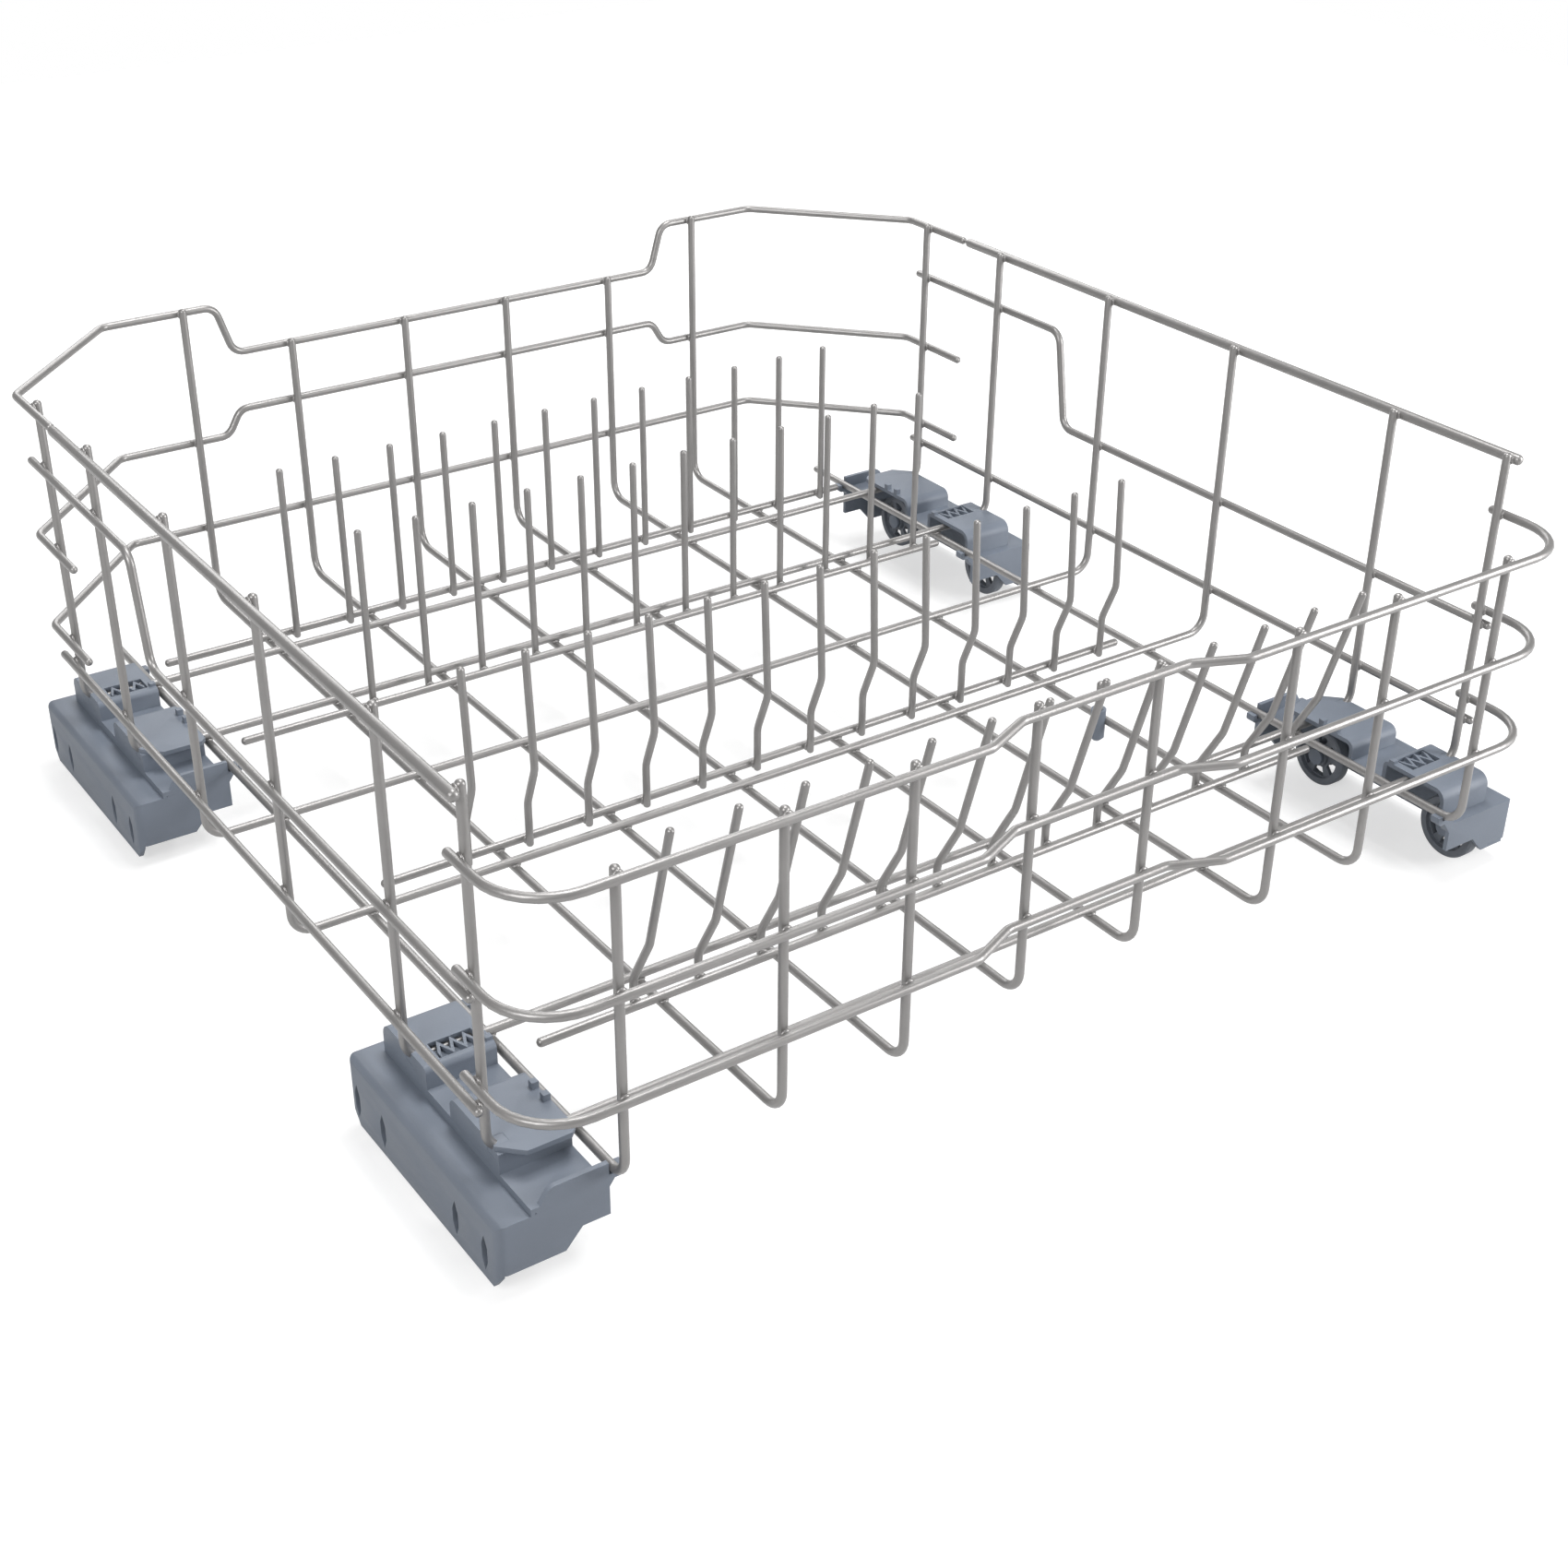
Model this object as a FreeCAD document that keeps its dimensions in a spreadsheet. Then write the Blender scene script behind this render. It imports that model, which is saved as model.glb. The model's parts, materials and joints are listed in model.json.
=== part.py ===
import FreeCAD, Part
import os
import math
import Sketcher
from FreeCAD import Vector

# Lower basket of a household dishwasher: a welded, coated wire rack on four wheel carriers.
# Millimetres, +Z up, +X to the right and +Y to the back as seen from the door.
# The origin is on the floor under the middle of the basket.

doc = FreeCAD.newDocument("Basket")
sheet = doc.addObject("Spreadsheet::Sheet", "Sizes")

RACK = [
    ("rack_width", 533.6, "between the middles of the side rails"),
    ("rack_depth", 559.0, "between the middles of the front and back rails"),
    ("wire", 4.0, "frame wire with its coating"),
    ("rail", 5.0, "thick top rail of each side"),
    ("tine_wire", 3.6, "plate tines"),
    ("weld", 0.1, "how far crossing wires sink into each other at a weld"),
    ("bend", 8.0, "bend radius at the middle of a wire"),
    ("foot_bend", 10.0, "bend from the floor into an upright"),
    ("floor_height", 40.0, "middle of the front-to-back floor wires"),
    ("rail_height", 200.0, "top rail of the sides and back"),
    ("stub", 3.5, "an upright above the middle of the rail it ends at"),
    ("tail", 5.0, "a rail past the last upright"),
    ("side_step_high", 170.5, "middle side rail, rear part"),
    ("side_step_low", 117.5, "middle side rail, front part"),
    ("side_step_at", 70.0, "place of the step in the middle side rail"),
    ("side_step_run", 9.0, "how far the step slants"),
    ("side_low_height", 67.0, "lower side rail"),
    ("front_top_height", 173.0, "top front rail"),
    ("front_mid_height", 124.5, "middle front rail"),
    ("front_low_height", 78.0, "lower front rail"),
    ("front_bend", 27.0, "large bend at each front corner"),
    ("front_return", 48.5, "front rail end behind the front rail line"),
    ("recess_depth", 10.0, "set-back in the middle of the front wall"),
    ("recess_inner", 43.0, "half length of the set-back"),
    ("recess_outer", 66.0, "half length with its slants"),
    ("back_dip_height", 173.5, "lowered middle of the top back rail"),
    ("back_dip_half", 130.0, "half length of that lowered middle"),
    ("back_mid_height", 128.5, "middle back rail"),
    ("back_mid_raise", 13.5, "raised middle of that rail"),
    ("back_slant", 8.0, "slant of the steps in the back rails"),
    ("back_low_height", 79.5, "lower back rail"),
    ("corner_cut_x", 68.0, "rear corner cut, along the back"),
    ("corner_cut_y", 72.5, "rear corner cut, along the side"),
    ("back_leg", 51.0, "leg of a back rail along the side"),
    ("rail_gap", 1.5, "between that leg and the thick side rail"),
    ("long_outer_x", 226.0, "outer front-to-back wires, from the middle"),
    ("long_third_x", 156.5, "next front-to-back wires"),
    ("long_second_x", 98.5, "next front-to-back wires"),
    ("long_first_x", 31.5, "inner front-to-back wires"),
    ("long_tail", 36.0, "outer wire ends this far in front of the back rail"),
    ("rear_set_y", 153.0, "middle of the rear wheel sets"),
    ("front_set_y", -205.0, "middle of the front wheel sets"),
    ("cross_pitch", 67.0, "between the two cross wires of a wheel set"),
    ("cross_third_y", 28.5, "third cross wire"),
    ("cross_fourth_y", -65.5, "fourth cross wire"),
]

TINES = [
    ("rod_half", 215.0, "half length of a tine rod"),
    ("rod_a_y", 204.0, "rearmost tine rod"),
    ("rod_b_y", 104.0, "second tine rod"),
    ("rod_c_y", -50.5, "third tine rod"),
    ("rod_d_y", -190.0, "front tine rod"),
    ("tine_pitch", 31.1, "between tines"),
    ("tine_foot", 3.0, "a tine below the middle of its rod"),
    ("tine_ab_x", -143.0, "first tine of the two rear rows"),
    ("tine_c_x", -174.0, "first tine of the third row"),
    ("tine_d_x", -168.0, "first tine of the front row"),
    ("tine_ab_top", 137.5, "top of the rear rows"),
    ("tine_c_top", 143.5, "top of the third row"),
    ("tine_d_top", 141.0, "top of the front row"),
    ("rear_tines", 12, "tines in each rear row"),
    ("front_tines", 13, "tines in each of the other rows"),
    ("kink_c_low", 64.0, "start of the third row's kink"),
    ("kink_c_high", 85.0, "end of that kink"),
    ("kink_c_shift", 8.5, "forward shift of that kink"),
    ("kink_c_back", 3.0, "backward lean above it"),
    ("kink_d_low", 55.0, "start of the front row's kink"),
    ("kink_d_high", 79.0, "end of that kink"),
    ("kink_d_shift", 13.5, "forward shift of that kink"),
    ("kink_d_lean", 17.5, "forward lean above it"),
    ("tine_bend", 12.0, "bend radius in a tine"),
    ("peg_y", -106.5, "place of the short peg on its wire"),
    ("peg_top", 62.5, "top of the peg"),
    ("peg_low", 32.0, "foot of the peg inside its boot"),
    ("boot_radius", 3.8, "moulded boot round the peg"),
    ("boot_top", 47.0, "upper end of the boot"),
    ("boot_low", 29.5, "lower end of the boot"),
]

# In a wheel set, "in" and "out" are measured outwards from its front-to-back wire, and
# "along" is measured from the set's middle towards the end with the lip.
SETS = [
    ("set_half", 63.0, "half length of a housing"),
    ("skin", 2.2, "moulded wall"),
    ("set_in", 4.5, "inner edge of the roof, out from the wire"),
    ("well_in", 33.6, "closing wall between the roof and the shoulder"),
    ("well_out", 35.4, "outer face of that wall"),
    ("set_out", 49.5, "outer face of the housing"),
    ("hump_top", 48.5, "top of both humps"),
    ("hump_round", 6.0, "rounded ends of the humps"),
    ("plate_end", 45.5, "free end of the first hump's top plate"),
    ("plate_over", 6.0, "how far that plate overhangs"),
    ("plate_cut", 9.0, "cut outer corner of the plate"),
    ("plate_nick", 3.0, "cut inner corner of the plate"),
    ("valley_start", 0.5, "near end of the first hump"),
    ("valley_end", 19.0, "near end of the second hump"),
    ("valley_top", 38.5, "floor between the humps"),
    ("hump_end", 57.0, "far end of the second hump"),
    ("lip_deck", 37.0, "deck at the lip end"),
    ("end_deck", 34.0, "deck at the block end"),
    ("shoulder", 34.0, "top of the outer shoulder"),
    ("shoulder_round", 3.0, "rounded edge of the shoulder"),
    ("corner_round", 4.0, "rounded upright corners of the outer wall"),
    ("skirt_low", 3.5, "lower edge of the outer wall"),
    ("heel_high", 13.0, "height of the cut lower corner at the block end"),
    ("heel_run", 8.0, "run of that cut"),
    ("end_low", 19.5, "lower edge of the end walls near the wire"),
    ("toe_low", 11.0, "lower edge of the end walls near the outer wall"),
    ("toe_in", 14.3, "start of the slant between them at the lip end"),
    ("block_toe", 23.5, "start of that slant at the block end"),
    ("toe_run", 7.5, "run of the slant"),
    ("lip_in", 2.4, "inner edge of the lip"),
    ("lip_top", 43.5, "top of the lip"),
    ("lip_flat", 27.5, "end of the high part of the lip"),
    ("lip_slant", 33.5, "foot of the lip's slant"),
    ("lip_round", 5.0, "rounded shoulder of the lip"),
    ("slot_wide", 4.4, "lens-shaped slots in the outer wall"),
    ("slot_high", 16.5, "their height"),
    ("slot_middle", 15.5, "their middle"),
    ("slot_off", 11.5, "from an axle to the slots beside it"),
    ("pass_wide", 5.4, "opening for an upright wire"),
    ("pass_in", 29.0, "inner end of that opening"),
    ("pass_low", 42.6, "lowest part of that opening"),
    ("tab_first", 12.0, "first tab on the edge of the first hump"),
    ("tab_second", 21.0, "second tab"),
    ("tab_wide", 3.0, "a tab along and across"),
    ("tab_high", 3.0, "a tab above the hump"),
    ("hook_reach", 4.6, "hook under the wire, inwards"),
    ("hook_wide", 5.0, "hook along the wire"),
    ("wheel_lip", 40.0, "wheel of the lip end, along the set"),
    ("wheel_block", 44.2, "wheel of the block end, along the set"),
    ("wheel_radius", 16.0, "wheel"),
    ("wheel_in", 26.6, "inner face of a wheel, out from the wire"),
    ("wheel_wide", 6.4, "wheel width"),
    ("tread_edge", 0.8, "bevelled edges of the tread"),
    ("rim", 3.8, "thickness of the wheel's rim"),
    ("web", 2.0, "thickness of the wheel's web"),
    ("window_low", 4.0, "window in the web, near the hub"),
    ("window_high", 7.4, "window in the web, near the rim"),
    ("windows", 6, "windows in a wheel"),
    ("hub_radius", 5.4, "wheel hub"),
    ("axle_radius", 3.0, "axle pin"),
    ("axle_play", 0.08, "play between pin and hub"),
    ("head_radius", 4.4, "head of the axle pin"),
    ("head_thick", 2.0, "head of the axle pin"),
    ("boss_radius", 7.0, "boss that holds the pin"),
    ("boss_in", 33.8, "inner face of the boss"),
    ("latch_in", 8.5, "latch window, nearer edge"),
    ("latch_out", 27.5, "latch window, outer edge"),
    ("latch_near", 22.5, "latch window along the second hump"),
    ("latch_far", 33.5, "far edge of that window"),
    ("latch_lip", 1.0, "latch plate under the edge of its window"),
    ("latch_thick", 1.6, "latch plate"),
    ("zigzag", 3.6, "swing of the latch's zigzag rib"),
    ("rib_wide", 1.8, "half thickness of that rib along the set"),
]

for row, (name, number, note) in enumerate(RACK + TINES + SETS, start=1):
    sheet.set("A%d" % row, name)
    sheet.set("B%d" % row, str(number))
    sheet.set("C%d" % row, note)
    sheet.setAlias("B%d" % row, name)
doc.recompute()


def named(formula):
    """The formula with each size written as a name in the sheet."""
    done = []
    word = ""
    for letter in str(formula) + " ":
        if letter.isalnum() or letter == "_":
            word += letter
            continue
        done.append("Sizes." + word if sheet.getCellFromAlias(word) else word)
        done.append(letter)
        word = ""
    return "".join(done).strip()


def size(formula):
    return float(sheet.evalExpression(named(formula)))


def new_body(label, x="0", y="0", z="0", turn=0):
    body = doc.addObject("PartDesign::Body", label)
    body.Label = label
    body.AllowCompound = True
    body.Placement.Rotation = FreeCAD.Rotation(Vector(0, 0, 1), turn)
    for axis, formula in zip("xyz", (x, y, z)):
        body.setExpression("Placement.Base." + axis, named(formula))
    return body


def new_sketch(body, role, offset="0"):
    sketch = body.newObject("Sketcher::SketchObject", body.Name + "_sketch")
    origin = next(item for item in body.Origin.OriginFeatures if item.Role == role)
    sketch.AttachmentSupport = [(origin, "")]
    sketch.MapMode = "FlatFace"
    sketch.setExpression("AttachmentOffset.Base.z", named(offset))
    return sketch


def bind(sketch, constraint, formula):
    place = sketch.addConstraint(constraint)
    sketch.setExpression("Constraints[%d]" % place, named(formula))


def fix_point(sketch, geometry, end, corner):
    """Dimension one point from the sketch's origin."""
    for kind, formula in zip(("DistanceX", "DistanceY"), corner):
        bind(sketch, Sketcher.Constraint(kind, -1, 1, geometry, end, size(formula)), formula)


def rounding(before, corner, after, radius):
    """Arc of a rounded corner, its two ends, and whether it runs with the outline."""
    back = (before - corner).normalize()
    ahead = (after - corner).normalize()
    half = back.getAngle(ahead) / 2
    middle = corner + (back + ahead).normalize() * (radius / math.sin(half))
    first = corner + back * (radius / math.tan(half))
    last = corner + ahead * (radius / math.tan(half))
    with_outline = back.cross(ahead).z < 0
    turn = [math.atan2(p.y - middle.y, p.x - middle.x) for p in (first, last)]
    if not with_outline:
        turn.reverse()
    arc = Part.ArcOfCircle(Part.Circle(middle, Vector(0, 0, 1), radius), turn[0], turn[1])
    return arc, first, last, with_outline


def draw(sketch, corners, closed=True):
    """Straight runs through dimensioned corners; a corner with a third value is rounded."""
    points = [Vector(size(corner[0]), size(corner[1]), 0) for corner in corners]
    count = len(points)
    starts = list(points)
    ends = points[1:] + points[:1]
    arcs = {}
    for i, corner in enumerate(corners):
        if len(corner) == 3:
            before = points[i - 1]
            after = points[(i + 1) % count]
            arc, first, last, ahead = rounding(before, points[i], after, size(corner[2]))
            arcs[i] = (arc, ahead)
            ends[i - 1] = first
            starts[i] = last
    runs = count if closed else count - 1
    for i in range(runs):
        sketch.addGeometry(Part.LineSegment(starts[i], ends[i]), False)
    for i, corner in enumerate(corners):
        before = (i - 1) % count
        if i in arcs:
            arc, ahead = arcs[i]
            bend = sketch.addGeometry(arc, False)
            mark = sketch.addGeometry(Part.Point(points[i]), True)
            fix_point(sketch, mark, 1, corner)
            sketch.addConstraint(Sketcher.Constraint("PointOnObject", mark, 1, before))
            sketch.addConstraint(Sketcher.Constraint("PointOnObject", mark, 1, i))
            sketch.addConstraint(Sketcher.Constraint("Tangent", before, 2, bend, 1 if ahead else 2))
            sketch.addConstraint(Sketcher.Constraint("Tangent", i, 1, bend, 2 if ahead else 1))
            bind(sketch, Sketcher.Constraint("Radius", bend, size(corner[2])), corner[2])
            continue
        if i < runs:
            fix_point(sketch, i, 1, corner)
        else:
            fix_point(sketch, before, 2, corner)
        if 0 < i < runs or closed:
            sketch.addConstraint(Sketcher.Constraint("Coincident", before, 2, i, 1))


def outline(body, role, corners, offset="0"):
    sketch = new_sketch(body, role, offset)
    draw(sketch, corners)
    return sketch


def circle(body, role, radius, centre=("0", "0"), offset="0"):
    sketch = new_sketch(body, role, offset)
    middle = Vector(size(centre[0]), size(centre[1]), 0)
    ring = sketch.addGeometry(Part.Circle(middle, Vector(0, 0, 1), size(radius)), False)
    fix_point(sketch, ring, 3, centre)
    bind(sketch, Sketcher.Constraint("Radius", ring, size(radius)), radius)
    return sketch


def extrude(body, kind, sketch, length, backwards=False):
    feature = body.newObject("PartDesign::" + kind, body.Name + "_" + kind.lower())
    feature.Profile = sketch
    feature.setExpression("Length", named(length))
    feature.Reversed = backwards
    return feature


def pad(body, sketch, length):
    return extrude(body, "Pad", sketch, length)


def pocket(body, sketch, length):
    return extrude(body, "Pocket", sketch, length, True)


def revolve(body, sketch, axis):
    feature = body.newObject("PartDesign::Revolution", body.Name + "_turned")
    feature.Profile = sketch
    feature.ReferenceAxis = (sketch, [axis])
    feature.Angle = 360
    return feature


def repeat(body, features, role, length, count):
    """Copies of features in a row along one of the body's own axes."""
    axis = next(item for item in body.Origin.OriginFeatures if item.Role == role)
    pattern = body.newObject("PartDesign::LinearPattern", body.Name + "_row")
    pattern.Originals = features
    pattern.Direction = (axis, [""])
    pattern.setExpression("Length", named(length))
    body.Tip = pattern
    pattern.setExpression("Occurrences", named(count))
    return pattern


def sweep(body, spine, thickness, runs):
    doc.recompute()
    section = body.newObject("Sketcher::SketchObject", body.Name + "_section")
    section.AttachmentSupport = [(spine, "Edge1")]
    section.MapMode = "NormalToEdge"
    ring = section.addGeometry(Part.Circle(Vector(), Vector(0, 0, 1), size(thickness) / 2), False)
    section.addConstraint(Sketcher.Constraint("Coincident", ring, 3, -1, 1))
    bind(section, Sketcher.Constraint("Diameter", ring, size(thickness)), thickness)
    pipe = body.newObject("PartDesign::AdditivePipe", body.Name + "_pipe")
    pipe.Profile = section
    pipe.Spine = (spine, ["Edge%d" % (i + 1) for i in range(runs)])
    return pipe


def bent_wire(label, role, corners, x="0", y="0", z="0", thickness="wire"):
    """A wire that bends in one plane: a circle swept along its middle line."""
    body = new_body(label, x, y, z)
    spine = new_sketch(body, role)
    draw(spine, corners, closed=False)
    sweep(body, spine, thickness, len(corners) - 1 + sum(len(c) == 3 for c in corners))
    return body


def straight_wire(label, turn, start, length, thickness="wire"):
    """A straight wire as a cylinder that is laid along X or Y."""
    rod = doc.addObject("Part::Cylinder", label)
    rod.Label = label
    rod.Placement.Rotation = turn
    rod.setExpression("Radius", named(thickness + " / 2"))
    rod.setExpression("Height", named(length))
    for axis, formula in zip("xyz", start):
        rod.setExpression("Placement.Base." + axis, named(formula))
    return rod


ALONG_X = FreeCAD.Rotation(Vector(0, 1, 0), 90)
ALONG_Y = FreeCAD.Rotation(Vector(1, 0, 0), -90)

UPRIGHT_X = "(rack_width / 2 - wire + weld)"
THICK_X = "(rack_width / 2 + (rail - wire) / 2)"
BACK_Y = "(rack_depth / 2 - wire + weld)"
CROSS_Z = "(floor_height + wire - weld)"

CROSS_Y = [
    "rear_set_y + cross_pitch / 2",
    "rear_set_y - cross_pitch / 2",
    "cross_third_y",
    "cross_fourth_y",
    "front_set_y + cross_pitch / 2",
    "front_set_y - cross_pitch / 2",
]


def cross_wires():
    """U-shaped wires: floor of the rack and uprights of both side walls."""
    top = "rail_height + stub"
    for number, place in enumerate(CROSS_Y, start=1):
        corners = [
            ("-" + UPRIGHT_X, top),
            ("-" + UPRIGHT_X, CROSS_Z, "foot_bend"),
            (UPRIGHT_X, CROSS_Z, "foot_bend"),
            (UPRIGHT_X, top),
        ]
        yield bent_wire("cross_wire_%d" % number, "XZ_Plane", corners, y=place)


def long_wires():
    """Front-to-back wires: two that end free at the back, six that rise as its uprights."""
    places = ["long_outer_x", "long_third_x", "long_second_x", "long_first_x"]
    number = 0
    for side, order in (("-", places), ("", places[::-1])):
        for place in order:
            number += 1
            front = "-" + BACK_Y
            if place == "long_first_x":
                front += " + recess_depth"
            corners = [
                (front, "front_top_height + stub"),
                (front, "floor_height", "foot_bend"),
            ]
            if place == "long_outer_x":
                corners.append(("rack_depth / 2 - long_tail", "floor_height"))
            else:
                high = "rail_height" if place == "long_third_x" else "back_dip_height"
                corners.append((BACK_Y, "floor_height", "foot_bend"))
                corners.append((BACK_Y, high + " + stub"))
            yield bent_wire("long_wire_%d" % number, "YZ_Plane", corners, x=side + place)


def front_rails():
    side = "rack_width / 2"
    front = "-rack_depth / 2"
    middle = "-rack_depth / 2 + recess_depth"
    end = "-rack_depth / 2 + front_return"
    for name in ("top", "mid", "low"):
        corners = [
            ("-" + side, end),
            ("-" + side, front, "front_bend"),
            ("-recess_outer", front, "bend"),
            ("-recess_inner", middle, "bend"),
            ("recess_inner", middle, "bend"),
            ("recess_outer", front, "bend"),
            (side, front, "front_bend"),
            (side, end),
        ]
        yield bent_wire("front_%s_rail" % name, "XY_Plane", corners, z="front_%s_height" % name)


def rounded_path(points, radius):
    """Straight edges through points in space with a tangent arc in each corner."""
    edges = []
    start = points[0]
    for before, corner, after in zip(points, points[1:], points[2:]):
        back = (before - corner).normalize()
        ahead = (after - corner).normalize()
        half = back.getAngle(ahead) / 2
        reach = radius / math.tan(half)
        middle = corner + (back + ahead).normalize() * (radius / math.sin(half) - radius)
        first = corner + back * reach
        last = corner + ahead * reach
        edges.append(Part.LineSegment(start, first).toShape())
        edges.append(Part.Arc(first, middle, last).toShape())
        start = last
    edges.append(Part.LineSegment(start, points[-1]).toShape())
    return Part.Wire(edges)


def back_rail(label, height, middle_rise):
    """A rail round both cut rear corners; its middle may lie higher or lower than its ends."""
    side = size("rack_width / 2")
    back = size("rack_depth / 2")
    rise = size(middle_rise)
    half = [
        (side, size("rack_depth / 2 - corner_cut_y - back_leg"), 0),
        (side, size("rack_depth / 2 - corner_cut_y"), 0),
        (size("rack_width / 2 - corner_cut_x"), back, 0),
    ]
    if rise:
        half.append((size("back_dip_half + back_slant"), back, 0))
        half.append((size("back_dip_half"), back, rise))
    points = [Vector(*p) for p in half] + [Vector(-p[0], p[1], p[2]) for p in reversed(half)]
    path = rounded_path(points, size("bend"))
    ring = Part.Circle(points[0], Vector(0, 1, 0), size("wire / 2")).toShape()
    rail = doc.addObject("Part::Feature", label)
    rail.Label = label
    rail.Shape = path.makePipeShell([Part.Wire([ring])], True, True)
    rail.setExpression("Placement.Base.z", named(height))
    return rail


def side_rails():
    front_end = "(front_set_y - cross_pitch / 2 - tail)"
    rear_end = "(rear_set_y + cross_pitch / 2 + 2.5 * tail)"
    leg_end = "(rack_depth / 2 - corner_cut_y - back_leg)"
    for name, sign in (("left", "-"), ("right", "")):
        start = (sign + THICK_X, front_end, "rail_height")
        length = leg_end + " - rail_gap - " + front_end
        yield straight_wire(name + "_top_rail", ALONG_Y, start, length, "rail")
        corners = [
            (rear_end, "side_step_high"),
            ("side_step_at", "side_step_high", "bend"),
            ("side_step_at - side_step_run", "side_step_low", "bend"),
            (front_end, "side_step_low"),
        ]
        yield bent_wire(name + "_mid_rail", "YZ_Plane", corners, x=sign + "rack_width / 2")
        start = (sign + "rack_width / 2", front_end, "side_low_height")
        yield straight_wire(name + "_low_rail", ALONG_Y, start, rear_end + " - " + front_end)


def tine_rods():
    for row in "abcd":
        start = ("-rod_half", "rod_%s_y" % row, CROSS_Z)
        yield straight_wire("tine_rod_" + row, ALONG_X, start, "2 * rod_half")


FOOT_Z = CROSS_Z + " - tine_foot"
REACH_Y = "((wire + tine_wire) / 2 - weld)"


def straight_tines(row, side):
    """A row of upright tines with bevelled tops, welded to one side of their rod."""
    body = new_body("tines_" + row, "tine_ab_x", "rod_%s_y %s %s" % (row, side, REACH_Y))
    corners = [
        ("0", FOOT_Z),
        ("tine_wire / 2", FOOT_Z),
        ("tine_wire / 2", "tine_ab_top - tine_wire / 3"),
        ("tine_wire / 4", "tine_ab_top"),
        ("0", "tine_ab_top"),
    ]
    tine = revolve(body, outline(body, "XZ_Plane", corners), "V_Axis")
    repeat(body, [tine], "X_Axis", "tine_pitch * (rear_tines - 1)", "rear_tines")
    return body


def kinked_tines(row, side, lean):
    """A row of tines with an S-bend above their rod."""
    place = "rod_%s_y %s %s" % (row, side, REACH_Y)
    body = new_body("tines_" + row, "tine_%s_x" % row, place)
    spine = new_sketch(body, "YZ_Plane")
    corners = [
        ("0", FOOT_Z),
        ("0", "kink_%s_low" % row, "tine_bend"),
        ("-kink_%s_shift" % row, "kink_%s_high" % row, "tine_bend"),
        ("-kink_%s_shift %s" % (row, lean), "tine_%s_top" % row),
    ]
    draw(spine, corners, closed=False)
    tine = sweep(body, spine, "tine_wire", 5)
    repeat(body, [tine], "X_Axis", "tine_pitch * (front_tines - 1)", "front_tines")
    return body


def peg():
    """A short peg beside a front-to-back wire, and the boot that is moulded round both."""
    beside = "long_third_x - wire + weld"
    pin = straight_wire("peg_pin", FreeCAD.Rotation(), (beside, "peg_y", "peg_low"),
                        "peg_top - peg_low")
    boot = new_body("peg_boot", beside, "peg_y")
    corners = [
        ("0", "boot_low"),
        ("boot_radius / 2", "boot_low"),
        ("boot_radius", "boot_low + boot_radius / 2"),
        ("boot_radius", "boot_top"),
        ("wire / 2", "boot_top"),
        ("wire / 2", "peg_low"),
        ("0", "peg_low"),
    ]
    revolve(boot, outline(boot, "XZ_Plane", corners), "V_Axis")
    notch = circle(boot, "XZ_Plane", "wire / 2", ("wire - weld", "floor_height"), "-boot_radius")
    extrude(boot, "Pocket", notch, "2 * boot_radius", True)
    return pin, boot


def housing_top():
    """Upper outline of a housing along the set, from the lip end to the block end."""
    return [
        ("set_half", "lip_deck"),
        ("plate_end - plate_over", "lip_deck"),
        ("plate_end - plate_over", "hump_top - skin"),
        ("plate_end", "hump_top - skin"),
        ("plate_end", "hump_top"),
        ("valley_start", "hump_top", "0.8 * hump_round"),
        ("valley_start", "valley_top"),
        ("-valley_end", "valley_top"),
        ("-valley_end", "hump_top", "0.5 * hump_round"),
        ("-hump_end", "hump_top", "hump_round"),
        ("-hump_end", "end_deck"),
        ("-set_half", "end_deck"),
    ]


def roof_ribbon(body):
    """Thin roof that follows the upper outline, from the wire out to the closing wall."""
    outside = housing_top()
    underside = [
        ("-set_half", "end_deck - skin"),
        ("skin - hump_end", "end_deck - skin"),
        ("skin - hump_end", "hump_top - skin", "hump_round - skin"),
        ("-valley_end - skin", "hump_top - skin"),
        ("-valley_end - skin", "valley_top - skin"),
        ("valley_start + skin", "valley_top - skin"),
        ("valley_start + skin", "hump_top - skin", "0.8 * hump_round - skin"),
        ("plate_end - plate_over - skin", "hump_top - skin"),
        ("plate_end - plate_over - skin", "lip_deck - skin"),
        ("set_half", "lip_deck - skin"),
    ]
    pad(body, outline(body, "YZ_Plane", outside + underside, "set_in"), "well_out - set_in")
    wall = outside + [("-set_half", "shoulder - skin"), ("set_half", "shoulder - skin")]
    pad(body, outline(body, "YZ_Plane", wall, "well_in"), "well_out - well_in")


def outer_wall(body):
    """Shoulder and outer wall with a rounded edge between them."""
    angle = [
        ("well_in", "shoulder"),
        ("set_out", "shoulder", "shoulder_round"),
        ("set_out", "skirt_low"),
        ("set_out - skin", "skirt_low"),
        ("set_out - skin", "shoulder - skin"),
        ("well_in", "shoulder - skin"),
    ]
    pad(body, outline(body, "XZ_Plane", angle, "-set_half"), "2 * set_half")


def rounded_ends(body):
    """Rounded upright corners of the outer wall and the cut heel of the block end."""
    for sign in ("-", ""):
        corner = [
            ("set_out - corner_round - 1", sign + "set_half"),
            ("set_out", sign + "set_half", "corner_round"),
            ("set_out", sign + "(set_half - corner_round - 1)"),
            ("set_out + 1", sign + "(set_half - corner_round - 1)"),
            ("set_out + 1", sign + "(set_half + 1)"),
            ("set_out - corner_round - 1", sign + "(set_half + 1)"),
        ]
        pocket(body, outline(body, "XY_Plane", corner), "shoulder + 1")
    heel = [
        ("-set_half - 1", "skirt_low - 1"),
        ("-set_half - 1", "heel_high"),
        ("-set_half", "heel_high"),
        ("heel_run - set_half", "skirt_low"),
        ("heel_run - set_half", "skirt_low - 1"),
    ]
    pocket(body, outline(body, "YZ_Plane", heel, "well_out"), "set_out - well_out + 1")


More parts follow.
